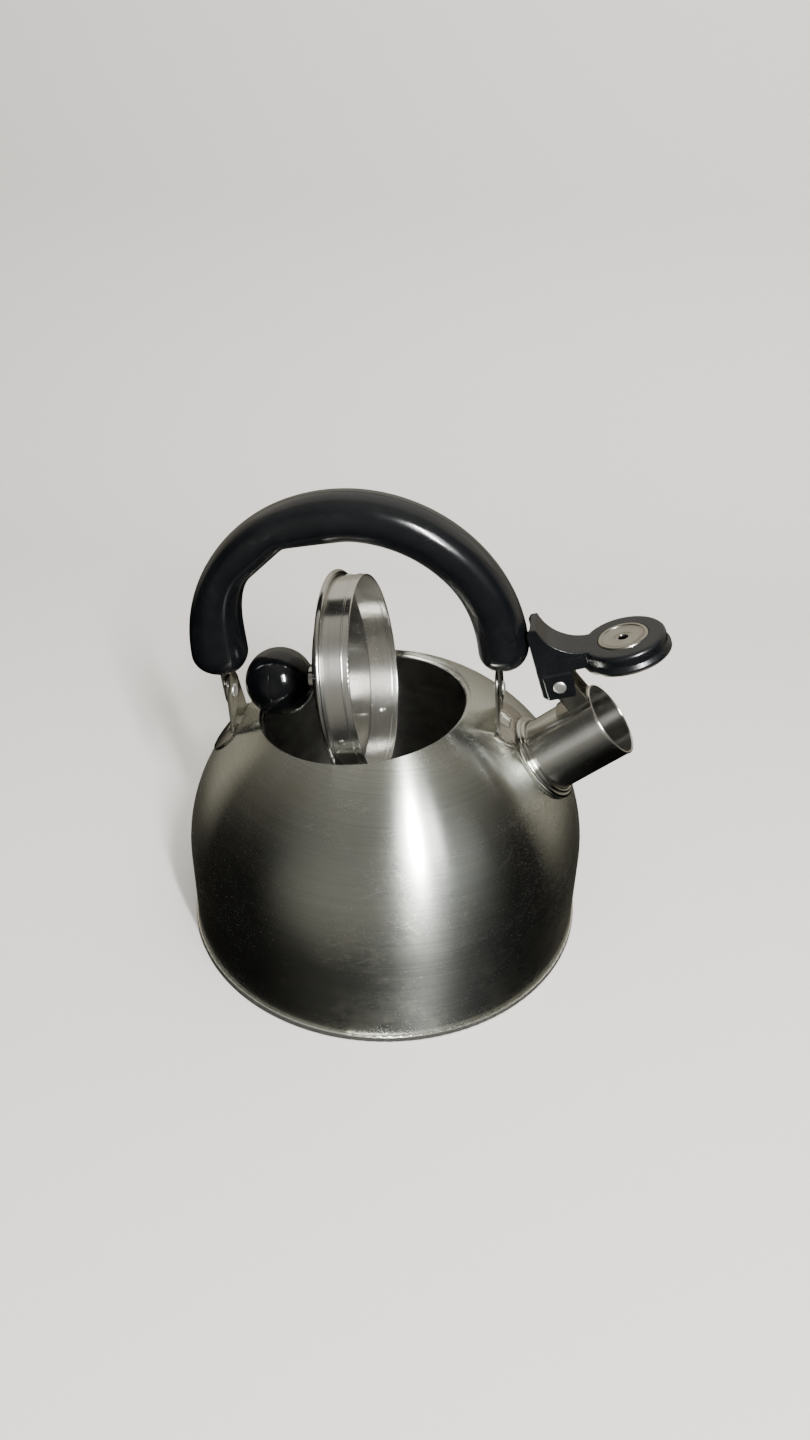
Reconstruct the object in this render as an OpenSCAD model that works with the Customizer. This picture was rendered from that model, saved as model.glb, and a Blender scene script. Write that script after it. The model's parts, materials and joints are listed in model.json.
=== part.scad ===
// Stovetop whistling kettle.
// Domed steel body, arch handle on two riveted brackets, whistle cap on a thumb lever over
// the spout, and a loose lid with a ball knob, stood on edge in the filling opening.
//
// Frame: origin at the centre of the base on the surface it stands on, +Z up, +X towards
// the spout. Everything on the crown is set out from the dome's centre: the opening and the
// handle on an axis that leans back from the spout, the spout on an axis of its own.

/* [Body] */
// Outer radius of the straight lower wall
body_r = 98.6; // [96:0.2:100]
// Height of the straight lower wall
wall_h = 44; // [42:1:46]
// Outer radius of the crown of the dome
dome_r = 102.7; // [102.4:0.1:103.4]
// Height of the centre of the crown's curvature
dome_z = 32; // [31:0.5:33]
// Sheet thickness of body, base and lid
sheet = 0.8; // [0.7:0.05:0.9]
// Height of the rolled seam around the base
seam_h = 3.6; // [3:0.2:4.4]
// How far the seam stands out from the wall
seam_w = 1.2; // [1:0.1:1.4]

/* [Filling opening] */
// Lean of the opening and handle away from the spout, degrees
crown_tilt = 7; // [6:0.5:8]
// Clear radius inside the rolled lip
lip_r = 48.2; // [47.9:0.1:48.5]
// Distance of the lid seat from the dome's centre
seat_h = 87.6; // [87.2:0.2:88]
// Outer radius of the recessed lid seat
seat_r = 51; // [50.8:0.1:51.3]

/* [Lid] */
// Outer radius of the rolled rim
lid_r = 50.4; // [50.2:0.1:50.5]
// Radius of the rim's roll
lid_roll = 1.4; // [1.2:0.1:1.5]
// Outer radius of the sleeve that drops into the opening
sleeve_r = 47.2; // [46.8:0.1:47.4]
// Depth of the sleeve below the rim
sleeve_h = 13.5; // [12:0.5:14]
// Height of the cover's crown above the rim
cover_h = 12.4; // [11.5:0.1:12.6]
// Radius of the ball knob
knob_r = 16.4; // [15.8:0.2:16.4]
// Height of the ball's centre above the rim
knob_z = 33.4; // [32.6:0.2:33.4]
// Position of the propped lid's rim plane across the opening
lid_x = -6.3; // [-7:0.1:-6]
// Lean of the propped lid towards its knob, degrees
lid_lean = 3.5; // [2:0.5:3.5]

/* [Spout] */
// Angle of the spout above horizontal
spout_angle = 41.7; // [41:0.1:42.5]
// Outer radius of the spout tube
spout_r = 17.85; // [17.4:0.05:18]
// Distance of the mouth from the dome's centre
mouth_h = 140.4; // [139:0.2:141]
// Radius of the larger bead of the root collar
collar_bead = 1.3; // [1.1:0.1:1.4]

/* [Whistle lever] */
// Turn from closed over the mouth to fully open
whistle_open = 67.5; // [66:0.5:67.5]
// Distance of the lever pivot from the spout's axis
lever_up = 31.4; // [31:0.2:32]
// Distance of the lever pivot behind the mouth
lever_back = 5.9; // [5.9:0.1:6.2]
// Width of the lever across its cheeks
lever_w = 16.8; // [16.6:0.2:17.6]
// Radius of the cap at its lower rim
cap_r = 19.9; // [19.4:0.1:20]
// Radius of the cap's side above the rim
cap_side_r = 18.6; // [18.3:0.1:18.8]
// Radius of the metal whistle disc
disc_r = 11.3; // [10.8:0.1:11.6]
// Radius of the whistle holes
whistle_hole = 2.2; // [1.8:0.1:2.6]

/* [Handle] */
// Half the distance between the bracket ears, at their inner faces
ear_x = 63.4; // [63:0.1:63.8]
// Distance of the pivots from the dome's centre
pivot_z = 97; // [96:0.5:98]
// Distance of the arch's centre from the dome's centre
arch_z = 116; // [115:0.5:117]
// Outer radius of the arch
arch_r = 79.4; // [78.6:0.2:79.4]
// Radial thickness of the grip at the top
grip_t = 21.2; // [20:0.2:22]
// Width of the grip front to back
grip_w = 25; // [23:0.5:26]
// Extra thickness of the grip at its rear end
rear_swell = 5; // [3:0.5:5.5]
// Thickness of bracket and tang steel
strip_t = 1.2; // [1:0.1:1.3]
// Radius of the pivot rivets' shanks
rivet_r = 2; // [1.8:0.1:2.2]

/* [Hidden] */
$fn = 96;
eps = 0.01;
running_fit = 0.05;     // radial clearance of a moving hole on its rivet
touch_gap = 0.3;        // clearance left where a loose piece rests on another

// Body: the shoulder arc is tangent to the wall and to the crown.
shoulder_r = (dome_r * dome_r - body_r * body_r - (wall_h - dome_z) * (wall_h - dome_z))
             / (2 * (dome_r - body_r));
shoulder_x = body_r - shoulder_r;
crown_angle = atan2(wall_h - dome_z, shoulder_x);
lip_roll = sheet;       // radius of the roll on the opening's lip

// Lid: the cover is a cap of a sphere over the rim's centre line.
rim_line = lid_r - lid_roll;
cover_edge = 0.6;       // height of the cover's outer face where it meets the rim's roll
cover_r = (rim_line * rim_line + pow(cover_h - cover_edge, 2)) / (2 * (cover_h - cover_edge));
cover_z = cover_h - cover_r;
lip_line = lip_r + lip_roll;
lid_reach = lid_r + lip_roll + touch_gap;
lid_z = seat_h - lip_roll + sqrt(lid_reach * lid_reach - lip_line * lip_line + lid_x * lid_x);
knob_foot = 15.6;       // height of the flat under the ball
ferrule_r = 6;
screw_r = 2;
dimples = 3;            // pressed out of the sleeve, to grip the lip when the lid is pressed home
dimple_at = 23;         // direction of the first dimple, degrees
dimple_r = 2.2;
dimple_out = 0.6;
dimple_l = 5;
dimple_z = -5.5;

// Spout and its root collar, measured along the spout's axis.
spout_sheet = 0.75;
mouth_roll = 0.6;
root_bead_r = spout_r + 2.65;
root_bead_h = sqrt(dome_r * dome_r - root_bead_r * root_bead_r) + collar_bead;
neck_bead = 1.05;
neck_bead_h = root_bead_h + 1.5;
collar_web = 0.9;       // half thickness of the collar between its beads
flange_h = sqrt(pow(dome_r - sheet, 2) - root_bead_r * root_bead_r);

// Whistle lever, in its own frame: pivot at the origin, +Z through the cap's top face.
lever_h = mouth_h - lever_back;
plate_z = lever_back + 0.15;
cap_z = plate_z + sheet;
cap_h = 7.6;
cap_top = cap_z + cap_h;
cap_round = 2;          // rounding between the cap's side and its top face
cap_lip_h = 0.8;        // height of the cap's lower rim, and of its flare above that
cap_flare_h = 1.8;
saddle_r = 20.2;        // hollow for the thumb, tangent to the cap's top face
saddle_x = 16.3;
saddle_skin = 3;
tail_x = -8;            // back of the lever, clear of the upright grip
tail_top = cap_top + 15.9;
foot_x = 6.2;           // front of the cheeks' feet
foot_z = -6.2;
pad_t = 0.4;            // raised pad round the rivet on each cheek
cheek_gap = 6.8;        // half the space between the cheeks
lever_ear_y = 6.5;      // outer face of the bracket's ears
lever_ear_t = 1;
lever_saddle_l = 17;    // length of the bracket's saddle along the spout
lever_saddle_gap = 0.8; // distance of the saddle's end behind the mouth
lever_ear_w = 5.2;      // half width of an ear, and the radius of its rounded end
chamber_r = 16.4;
seat_t = 1.8;           // thickness of plastic around the whistle disc
lever_rivet_r = 1.5;
lever_rivet_head = 3;
lever_head_h = 0.9;
head_chamfer = 0.7;
disc_rim = 1.1;         // radius of the roll round the whistle disc

// Handle, in the crown's leaning frame.
tang_x = ear_x + strip_t + 0.4;
tang_w = 13;
tang_top = 121;
head_r = 3.3;
head_h = 1.2;
head_bevel = 0.9;
ear_top_r = 8.5;
ear_base_w = 12.5;      // half width of the ear where it meets the dome
foot_r = 15.5;
foot_reach = 3.5;       // the foot's rounded end is centred this far out from the ear
foot_lean = asin((ear_x + strip_t) / dome_r);
foot_t = 1;
window_w = 9;
window_l = 5;
collar_gap = root_bead_r + collar_bead + touch_gap;
socket_fit = 0.05;

steel = [0.74, 0.73, 0.71];
bright_steel = [0.82, 0.82, 0.81];
black_plastic = [0.05, 0.055, 0.065];

// Frames

// The crown's frame: origin at the dome's centre, +Z through the middle of the opening.
module on_crown() {
    translate([0, 0, dome_z])
        rotate([0, -crown_tilt, 0])
            children();
}

// The spout's frame: origin at the dome's centre, +Z out along the spout, -X on its upper side.
module on_spout() {
    translate([0, 0, dome_z])
        rotate([0, 90 - spout_angle, 0])
            children();
}

// The lever's frame, with the whistle standing open.
module on_lever() {
    on_spout()
        translate([-lever_up, 0, lever_h])
            rotate([0, -whistle_open, 0])
                children();
}

// The lid's frame: origin at the middle of the rim, +Z towards the knob, stood on edge.
module on_lid() {
    on_crown()
        translate([lid_x, 0, lid_z])
            rotate([0, -90 - lid_lean, 0])
                children();
}

// Turns a profile drawn in X and Z into a slab of thickness t centred on the XZ plane.
module slab(t) {
    rotate([90, 0, 0])
        linear_extrude(height = t, center = true)
            children();
}

// Body

// Half section of the space inside a skin that lies "inset" under the outer surface.
module body_section(inset, bottom) {
    crown = dome_r - inset;
    intersection() {
        union() {
            translate([0, bottom])
                square([body_r - inset, wall_h - bottom]);
            translate([shoulder_x, wall_h])
                circle(shoulder_r - inset);
            translate([0, dome_z])
                intersection() {
                    circle(crown);
                    polygon([[0, 0], [2 * crown * cos(crown_angle), 2 * crown * sin(crown_angle)],
                             [0, 2 * crown]]);
                }
        }
        translate([0, bottom])
            square([dome_r, dome_z + dome_r]);
    }
}

module seat_ring_section() {
    // step down from the crown
    intersection() {
        circle(dome_r);
        translate([seat_r - sheet / 2, seat_h - sheet])
            square([sheet, 2 * sheet + 2]);
    }
    // flat seat
    translate([lip_line, seat_h - sheet])
        square([seat_r - lip_line, sheet]);
    // rolled lip
    translate([lip_line, seat_h - lip_roll])
        circle(lip_roll);
}

module body_shell() {
    color(steel) {
        difference() {
            rotate_extrude()
                difference() {
                    body_section(0, sheet);
                    body_section(sheet, 0);
                }
            on_crown()
                translate([0, 0, seat_h / 2])
                    cylinder(h = seat_h, r = seat_r);
            on_spout()
                translate([0, 0, flange_h - 4])
                    cylinder(h = 12, r = spout_r + running_fit);
        }
        on_crown()
            rotate_extrude()
                seat_ring_section();
    }
}

module base_plate() {
    roll = seam_w / 2;
    color(bright_steel)
        rotate_extrude() {
            square([body_r + roll, sheet]);
            translate([body_r + running_fit + roll, roll])
                circle(roll);
            translate([body_r + running_fit, roll])
                square([seam_w, seam_h - seam_w]);
            translate([body_r + running_fit + roll, seam_h - roll])
                circle(roll);
        }
}

// Spout

module spout_tube() {
    color(bright_steel)
        on_spout()
            rotate_extrude() {
                translate([spout_r - spout_sheet, flange_h - sheet])
                    square([spout_sheet, mouth_h - flange_h]);
                // flange that bears on the inside of the body
                translate([spout_r - spout_sheet, flange_h - sheet])
                    square([root_bead_r - spout_r + spout_sheet, sheet]);
                // rounded lip of the mouth
                translate([spout_r - spout_sheet / 2, mouth_h - mouth_roll])
                    circle(mouth_roll);
            }
}

module spout_collar() {
    color(bright_steel)
        on_spout()
            rotate_extrude() {
                translate([root_bead_r, root_bead_h])
                    circle(collar_bead);
                translate([spout_r + neck_bead + running_fit, neck_bead_h])
                    circle(neck_bead);
                translate([spout_r + running_fit, root_bead_h + (collar_bead - 2 * collar_web) / 2])
                    square([root_bead_r - spout_r, 2 * collar_web]);
            }
}

// Handle brackets

module ear_outline() {
    base_z = sqrt(dome_r * dome_r - ear_x * ear_x) - 2;
    translate([0, pivot_z + 1])
        circle(ear_top_r);
    polygon([[-ear_base_w, base_z], [ear_base_w, base_z], [ear_top_r, pivot_z + 1],
             [-ear_top_r, pivot_z + 1]]);
}

// One bracket: a foot spot-welded to the dome, and an ear bent up from its inner edge.
module handle_bracket() {
    difference() {
        union() {
            // ear, above the dome
            difference() {
                translate([ear_x, 0, 0])
                    rotate([90, 0, 90])
                        linear_extrude(height = strip_t)
                            ear_outline();
                sphere(dome_r + running_fit);
            }
            // foot, following the dome
            intersection() {
                difference() {
                    sphere(dome_r + running_fit + foot_t);
                    sphere(dome_r + running_fit);
                }
                rotate([0, foot_lean, 0])
                    union() {
                        translate([foot_reach, 0, dome_r - 6])
                            cylinder(h = 12, r = foot_r);
                        translate([-strip_t, -foot_r + 1, dome_r - 6])
                            cube([foot_reach + strip_t, 2 * foot_r - 2, 12]);
                    }
                translate([ear_x, -foot_r - 1, 0])
                    cube([40, 2 * foot_r + 2, dome_r]);
            }
        }
        // window at the bend
        rotate([0, foot_lean, 0])
            translate([-strip_t - 1, -window_w / 2, dome_r - 4])
                cube([window_l + strip_t + 1, window_w, 6.5]);
        // rivet hole
        translate([ear_x - 1, 0, pivot_z])
            rotate([0, 90, 0])
                cylinder(h = strip_t + 2, r = rivet_r);
    }
}

// The front foot is cut away round the spout's collar.
module front_bracket() {
    color(steel)
        difference() {
            on_crown()
                handle_bracket();
            on_spout()
                translate([0, 0, flange_h])
                    cylinder(h = 20, r = collar_gap);
        }
}

module rear_bracket() {
    color(steel)
        on_crown()
            mirror([1, 0, 0])
                handle_bracket();
}

// Rivet through ear and tang, set out from the ear's inner face.
module pivot_rivet() {
    grip_l = tang_x + strip_t + 0.1 - ear_x;
    translate([ear_x, 0, pivot_z])
        rotate([0, 90, 0]) {
            translate([0, 0, -eps])
                cylinder(h = grip_l + 2 * eps, r = rivet_r);
            translate([0, 0, -head_h])
                cylinder(h = head_h, r1 = head_r - head_bevel, r2 = head_r);
            translate([0, 0, grip_l])
                cylinder(h = head_h, r1 = head_r, r2 = head_r - head_bevel);
        }
}

module front_pivot_rivet() {
    color(bright_steel)
        on_crown()
            pivot_rivet();
}

module rear_pivot_rivet() {
    color(bright_steel)
        on_crown()
            mirror([1, 0, 0])
                pivot_rivet();
}

// Handle

// Flat steel tang: round at the pivot, its upper part moulded into the grip.
module handle_tang() {
    difference() {
        translate([tang_x, 0, 0])
            rotate([90, 0, 90])
                linear_extrude(height = strip_t) {
                    translate([0, pivot_z])
                        circle(tang_w / 2);
                    translate([-tang_w / 2, pivot_z])
                        square([tang_w, tang_top - pivot_z]);
                }
        translate([tang_x - 1, 0, pivot_z])
            rotate([0, 90, 0])
                cylinder(h = strip_t + 2, r = rivet_r + running_fit);
    }
}

module front_tang() {
    color(steel)
        on_crown()
            handle_tang();
}

module rear_tang() {
    color(steel)
        on_crown()
            mirror([1, 0, 0])
                handle_tang();
}

grip_sides = 32;
cap_steps = 7;
grip_start = 2.5;       // the arch ends this many degrees short of the horizontal
grip_end_l = 11;        // length of each rounded end
front_swell = 1.8;
swell_turn = 40;        // degrees over which each end swells
section_power = 0.86;   // below 1 makes the grip's section fuller than an ellipse

// Corners of the two flats under the rear of the arch, from the arch's centre.
arch_inner_r = arch_r - grip_t;
angle_a = 86;
flat_a = arch_inner_r * [cos(angle_a), sin(angle_a)];
flat_b = [-25, arch_inner_r - 2.5];
flat_c = [-44.4, arch_inner_r - 17.5];
angle_b = atan2(flat_b[1], flat_b[0]);
angle_c = atan2(flat_c[1], flat_c[0]);
grip_end = 180 - grip_start;
flat_rise = 2;          // how far the last corner stands outside the arch's inner circle
grip_angles = concat(
    [for (i = [0 : 21]) grip_start + (angle_a - grip_start) * i / 22],
    [for (i = [0 : 6]) angle_a + (angle_b - angle_a) * i / 7],
    [for (i = [0 : 5]) angle_b + (angle_c - angle_b) * i / 6],
    [for (i = [0 : 11]) angle_c + (grip_end - angle_c) * i / 11]);

function smooth(t) = let (u = max(0, min(1, t))) u * u * (3 - 2 * u);
function signed_pow(v, p) = sign(v) * pow(abs(v), p);

// Distance at which the ray on angle a meets the line through p and q.
function line_radius(a, p, q) =
    let (n = [p[1] - q[1], q[0] - p[0]])
    (p * n) / (n * [cos(a), sin(a)]);

// Inner radius of the arch at angle a, with the flats and the swells at both ends.
function arch_inner(a) =
    a <= angle_a ? arch_inner_r - front_swell * smooth((swell_turn - a) / swell_turn)
    : a < angle_b ? line_radius(a, flat_a, flat_b)
    : a <= angle_c ? line_radius(a, flat_b, flat_c)
    : norm(flat_c) - (rear_swell + flat_rise) * smooth((a - angle_c) / (grip_end - angle_c));

// One ring of the grip: section centre at radius r on angle a, moved down by drop, scaled by k.
function grip_ring(a, drop, k) =
    let (inner = arch_inner(a), mid = (arch_r + inner) / 2, half = (arch_r - inner) / 2)
    [for (i = [0 : grip_sides - 1])
        let (t = 360 * i / grip_sides, r = mid + k * half * signed_pow(cos(t), section_power))
        [r * cos(a), k * grip_w / 2 * signed_pow(sin(t), section_power),
         arch_z + r * sin(a) - drop]];

function grip_pole(a) =
    let (mid = (arch_r + arch_inner(a)) / 2)
    [mid * cos(a), 0, arch_z + mid * sin(a) - grip_end_l];

module handle_grip_solid() {
    rings = concat(
        [for (i = [1 : cap_steps - 1]) let (t = 90 * (1 - i / cap_steps))
            grip_ring(grip_start, grip_end_l * sin(t), cos(t))],
        [for (a = grip_angles) grip_ring(a, 0, 1)],
        [for (i = [1 : cap_steps - 1]) let (t = 90 * i / cap_steps)
            grip_ring(grip_end, grip_end_l * sin(t), cos(t))]);
    count = len(rings);
    points = concat([for (ring = rings) each ring], [grip_pole(grip_start), grip_pole(grip_end)]);
    faces = concat(
        [for (j = [0 : count - 2], i = [0 : grip_sides - 1])
            let (n = (i + 1) % grip_sides)
            [j * grip_sides + i, j * grip_sides + n, (j + 1) * grip_sides + n,
             (j + 1) * grip_sides + i]],
        [for (i = [0 : grip_sides - 1])
            [count * grip_sides, (i + 1) % grip_sides, i]],
        [for (i = [0 : grip_sides - 1])
            [count * grip_sides + 1, (count - 1) * grip_sides + i,
             (count - 1) * grip_sides + (i + 1) % grip_sides]]);
    polyhedron(points = points, faces = faces, convexity = 6);
}

module tang_socket() {
    translate([tang_x - socket_fit, -tang_w / 2 - socket_fit, pivot_z])
        cube([strip_t + 2 * socket_fit, tang_w + 2 * socket_fit, tang_top + socket_fit - pivot_z]);
}

module handle_grip() {
    color(black_plastic)
        on_crown()
            difference() {
                handle_grip_solid();
                tang_socket();
                mirror([1, 0, 0])
                    tang_socket();
            }
}

// Whistle

// Saddle welded along the top of the spout, with two ears for the lever.
module whistle_bracket() {
    color(steel)
        on_spout()
            difference() {
                union() {
                    intersection() {
                        translate([0, 0, mouth_h - lever_saddle_l - lever_saddle_gap])
                            difference() {
                                cylinder(h = lever_saddle_l, r = spout_r + running_fit + lever_ear_t);
                                translate([0, 0, -1])
                                    cylinder(h = lever_saddle_l + 2, r = spout_r + running_fit);
                            }
                        translate([-2 * spout_r, -lever_ear_y, 0])
                            cube([2 * spout_r, 2 * lever_ear_y, mouth_h]);
                    }
                    for (side = [-1, 1])
                        translate([0, side * (lever_ear_y - lever_ear_t / 2), 0])
                            slab(lever_ear_t) {
                                translate([-lever_up, lever_h])
                                    circle(lever_ear_w);
                                translate([-lever_up, lever_h - lever_ear_w])
                                    square([lever_up - spout_r + 0.6, 2 * lever_ear_w]);
                            }
                }
                translate([-lever_up, 0, lever_h])
                    rotate([90, 0, 0])
                        cylinder(h = lever_w, r = lever_rivet_r, center = true);
            }
}

module lever_rivet() {
    half = lever_w / 2 + pad_t + 0.1;
    color(bright_steel)
        on_spout()
            translate([-lever_up, 0, lever_h])
                rotate([90, 0, 0]) {
                    cylinder(h = 2 * half, r = lever_rivet_r, center = true);
                    for (side = [0, 180])
                        rotate([side, 0, 0])
                            translate([0, 0, half - eps])
                                cylinder(h = lever_head_h, r1 = lever_rivet_head,
                                         r2 = lever_rivet_head - head_chamfer);
                }
}

// Side view of the lever between the tail and the cap.
module lever_outline() {
    difference() {
        polygon([[tail_x - 0.7, foot_z + 2.2], [tail_x + 1.6, foot_z], [foot_x, foot_z], [7, cap_z],
                 [saddle_x + 3, cap_z], [saddle_x + 3, cap_top], [saddle_x, cap_top],
                 [saddle_x, tail_top], [tail_x + 1.4, tail_top], [tail_x, tail_top - 1.8]]);
        translate([saddle_x, cap_top + saddle_r])
            circle(saddle_r);
    }
}

// Hollow between the cheeks and under the thumb saddle.
module lever_hollow() {
    back_x = tail_x - 4;
    low_z = foot_z - 4;
    translate([back_x, low_z])
        square([8 - back_x, cap_z - touch_gap - low_z]);
    difference() {
        translate([back_x, low_z])
            square([foot_x - back_x, cap_top + saddle_r - low_z]);
        translate([saddle_x, cap_top + saddle_r])
            circle(saddle_r + saddle_skin);
    }
}

// Half section of the cap's outside: lower rim, flare, side and rounded shoulder.
module cap_section() {
    round_r = cap_side_r - cap_round;
    polygon([[0, 0], [cap_r, 0], [cap_r, cap_lip_h], [cap_side_r, cap_lip_h + cap_flare_h],
             [cap_side_r, cap_h - cap_round], [round_r, cap_h - cap_round], [round_r, cap_h],
             [0, cap_h]]);
    translate([round_r, cap_h - cap_round])
        circle(cap_round);
}

module whistle_lever() {
    color(black_plastic)
        on_lever()
            difference() {
                union() {
                    slab(lever_w)
                        lever_outline();
                    slab(lever_w + 2 * pad_t)
                        translate([-lever_ear_w - 1, foot_z])
                            square([foot_x + lever_ear_w + 1, foot_x - foot_z]);
                    translate([lever_up, 0, cap_z])
                        rotate_extrude()
                            cap_section();
                }
                slab(2 * cheek_gap)
                    lever_hollow();
                translate([lever_up, 0, cap_z - 1])
                    cylinder(h = cap_h - seat_t + 1, r = chamber_r);
                translate([lever_up, 0, cap_z])
                    cylinder(h = cap_h + 1, r = disc_r);
                rotate([90, 0, 0])
                    cylinder(h = lever_w + 2, r = lever_rivet_r + running_fit, center = true);
            }
}

// Dished metal disc in the top of the cap, with the outer whistle hole.
module whistle_disc() {
    low = cap_top - seat_t;
    edge = disc_r - disc_rim;
    color(bright_steel)
        on_lever()
            translate([lever_up, 0, 0])
                rotate_extrude() {
                    polygon([[whistle_hole, low + 0.4], [edge - disc_rim, low + 0.9],
                             [edge, low + 0.9], [edge, low + 0.9 + sheet],
                             [edge - disc_rim, low + 0.9 + sheet], [whistle_hole, low + 0.4 + sheet]]);
                    translate([edge, low + 0.9 + sheet / 2])
                        circle(disc_rim - running_fit);
                }
}

// Metal plate under the cap that closes the mouth, with the inner whistle hole.
module whistle_plate() {
    color(bright_steel)
        on_lever()
            translate([lever_up, 0, plate_z])
                difference() {
                    cylinder(h = sheet, r = cap_r - running_fit);
                    translate([0, 0, -1])
                        cylinder(h = sheet + 2, r = whistle_hole);
                }
}

// Lid

module lid_cover() {
    color(bright_steel)
        on_lid()
            difference() {
                rotate_extrude() {
                    intersection() {
                        translate([0, cover_z])
                            difference() {
                                circle(cover_r);
                                circle(cover_r - sheet);
                            }
                        translate([0, -0.2])
                            square([rim_line, cover_h + 1]);
                    }
                    translate([rim_line, 0])
                        circle(lid_roll);
                }
                cylinder(h = cover_h + 1, r = screw_r + 0.1);
            }
}

// Capsule of radius r that lies along the lid's axis under the sleeve's wall.
module dimple_body(r) {
    translate([sleeve_r + dimple_out - dimple_r, 0, dimple_z]) {
        cylinder(h = dimple_l - 2 * dimple_r, r = r, center = true);
        for (end = [-1, 1])
            translate([0, 0, end * (dimple_l / 2 - dimple_r)])
                sphere(r);
    }
}

module at_dimples() {
    for (i = [0 : dimples - 1])
        rotate([0, 0, dimple_at + 360 / dimples * i])
            children();
}

module lid_sleeve() {
    under_cover = cover_z + sqrt(pow(cover_r - sheet, 2) - sleeve_r * sleeve_r);
    inner_wall_r = sleeve_r - sheet;
    edge_r = 0.5;
    bead_r = 0.6;
    bead_z = 2.7;
    color(bright_steel)
        on_lid()
            difference() {
                union() {
                    rotate_extrude() {
                        translate([inner_wall_r, edge_r - sleeve_h])
                            square([sheet, sleeve_h - edge_r + under_cover]);
                        // rolled edge and the bead above it
                        translate([sleeve_r - edge_r, edge_r - sleeve_h])
                            circle(edge_r);
                        translate([sleeve_r + 0.3 - bead_r, edge_r + bead_z - sleeve_h])
                            circle(bead_r);
                    }
                    difference() {
                        at_dimples()
                            dimple_body(dimple_r);
                        cylinder(h = 4 * sleeve_h, r = inner_wall_r + eps, center = true);
                    }
                }
                at_dimples()
                    dimple_body(dimple_r - sheet + 0.1);
            }
}

module lid_knob() {
    color(black_plastic)
        on_lid()
            difference() {
                translate([0, 0, knob_z])
                    sphere(knob_r);
                translate([-knob_r, -knob_r, knob_foot - knob_r])
                    cube([2 * knob_r, 2 * knob_r, knob_r + 2]);
                translate([0, 0, knob_foot])
                    cylinder(h = 14, r = screw_r);
            }
}

// Steel ferrule between the ball and the cover.
module knob_ferrule() {
    foot_z = cover_z + sqrt(cover_r * cover_r - ferrule_r * ferrule_r);
    color(bright_steel)
        on_lid()
            rotate_extrude()
                difference() {
                    translate([screw_r + 0.1, foot_z - 0.4])
                        square([ferrule_r - screw_r - 0.1, knob_foot + 2 - foot_z + 0.4]);
                    translate([0, cover_z])
                        circle(cover_r);
                }
}

module knob_screw() {
    head_z = cover_z + cover_r - sheet;
    color(bright_steel)
        on_lid() {
            translate([0, 0, head_z - 2.2])
                cylinder(h = 2, r1 = 3.2, r2 = 4);
            translate([0, 0, head_z - 1])
                cylinder(h = knob_foot + 11 - head_z, r = screw_r);
        }
}

body_shell();
base_plate();
spout_tube();
spout_collar();
front_bracket();
rear_bracket();
front_pivot_rivet();
rear_pivot_rivet();
handle_grip();
front_tang();
rear_tang();
whistle_bracket();
lever_rivet();
whistle_lever();
whistle_disc();
whistle_plate();
lid_cover();
lid_sleeve();
lid_knob();
knob_ferrule();
knob_screw();
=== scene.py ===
"""Stovetop whistling kettle: looks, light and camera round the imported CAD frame."""
import json
import math

import bmesh
import bpy
from mathutils import Matrix, Vector

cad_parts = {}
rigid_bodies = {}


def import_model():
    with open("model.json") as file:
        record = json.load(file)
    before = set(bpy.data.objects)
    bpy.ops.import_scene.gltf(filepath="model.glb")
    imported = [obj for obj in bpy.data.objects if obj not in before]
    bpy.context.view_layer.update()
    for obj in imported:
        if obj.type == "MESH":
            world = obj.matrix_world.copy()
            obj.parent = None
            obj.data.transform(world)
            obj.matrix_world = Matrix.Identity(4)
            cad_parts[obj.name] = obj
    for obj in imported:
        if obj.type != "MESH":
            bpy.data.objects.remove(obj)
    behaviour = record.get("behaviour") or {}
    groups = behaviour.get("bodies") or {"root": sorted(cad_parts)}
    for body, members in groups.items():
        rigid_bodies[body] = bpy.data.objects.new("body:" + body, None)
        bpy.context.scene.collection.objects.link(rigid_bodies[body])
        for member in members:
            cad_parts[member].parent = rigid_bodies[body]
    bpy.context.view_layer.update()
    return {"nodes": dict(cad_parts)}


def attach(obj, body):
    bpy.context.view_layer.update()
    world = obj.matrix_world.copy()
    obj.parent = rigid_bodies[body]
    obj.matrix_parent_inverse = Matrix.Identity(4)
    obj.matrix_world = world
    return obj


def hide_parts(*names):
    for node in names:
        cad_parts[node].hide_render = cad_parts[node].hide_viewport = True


for leftover in list(bpy.data.objects):
    bpy.data.objects.remove(leftover)

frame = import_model()
nodes = frame["nodes"]
MM = 0.001

# ---------------------------------------------------------------- frames, as in the CAD
# Lengths are in millimetres and angles in degrees.
DOME_Z = 32                 # height of the dome's centre
CROWN_LEAN = 7              # how far the crown, opening and handle lean back from the spout
SPOUT_RISE = 41.7           # from level up to the spout's axis
PIN_X, PIN_Z = -31.4, 134.5     # the lever's pin: across the spout's axis, above it, and along it
CAP_X = 31.4                # from the lever's pin to the middle of its cap
LEVER_OPEN = 67.5           # from the cap closed to its open rest position
LID_X, LID_Z = -6.3, 103.857    # the standing lid's place in the crown's frame
LID_TURN = -93.5            # how far it is turned up on edge there


def turn_y(degrees):
    """Turn about y by that many degrees."""
    return Matrix.Rotation(math.radians(degrees), 4, "Y")


def at(x, y, z):
    """Translation given in millimetres."""
    return Matrix.Translation(Vector((x, y, z)) * MM)


DOME = at(0, 0, DOME_Z)
CROWN = DOME @ turn_y(-CROWN_LEAN)
SPOUT = DOME @ turn_y(90 - SPOUT_RISE)
LEVER = SPOUT @ at(PIN_X, 0, PIN_Z) @ turn_y(-LEVER_OPEN)
CAP = LEVER @ at(CAP_X, 0, 0)
LID = CROWN @ at(LID_X, 0, LID_Z) @ turn_y(LID_TURN)
UPRIGHT = Matrix.Identity(4)
ACROSS = Matrix.Rotation(math.radians(90), 4, "X")     # local z along the object's y


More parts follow.
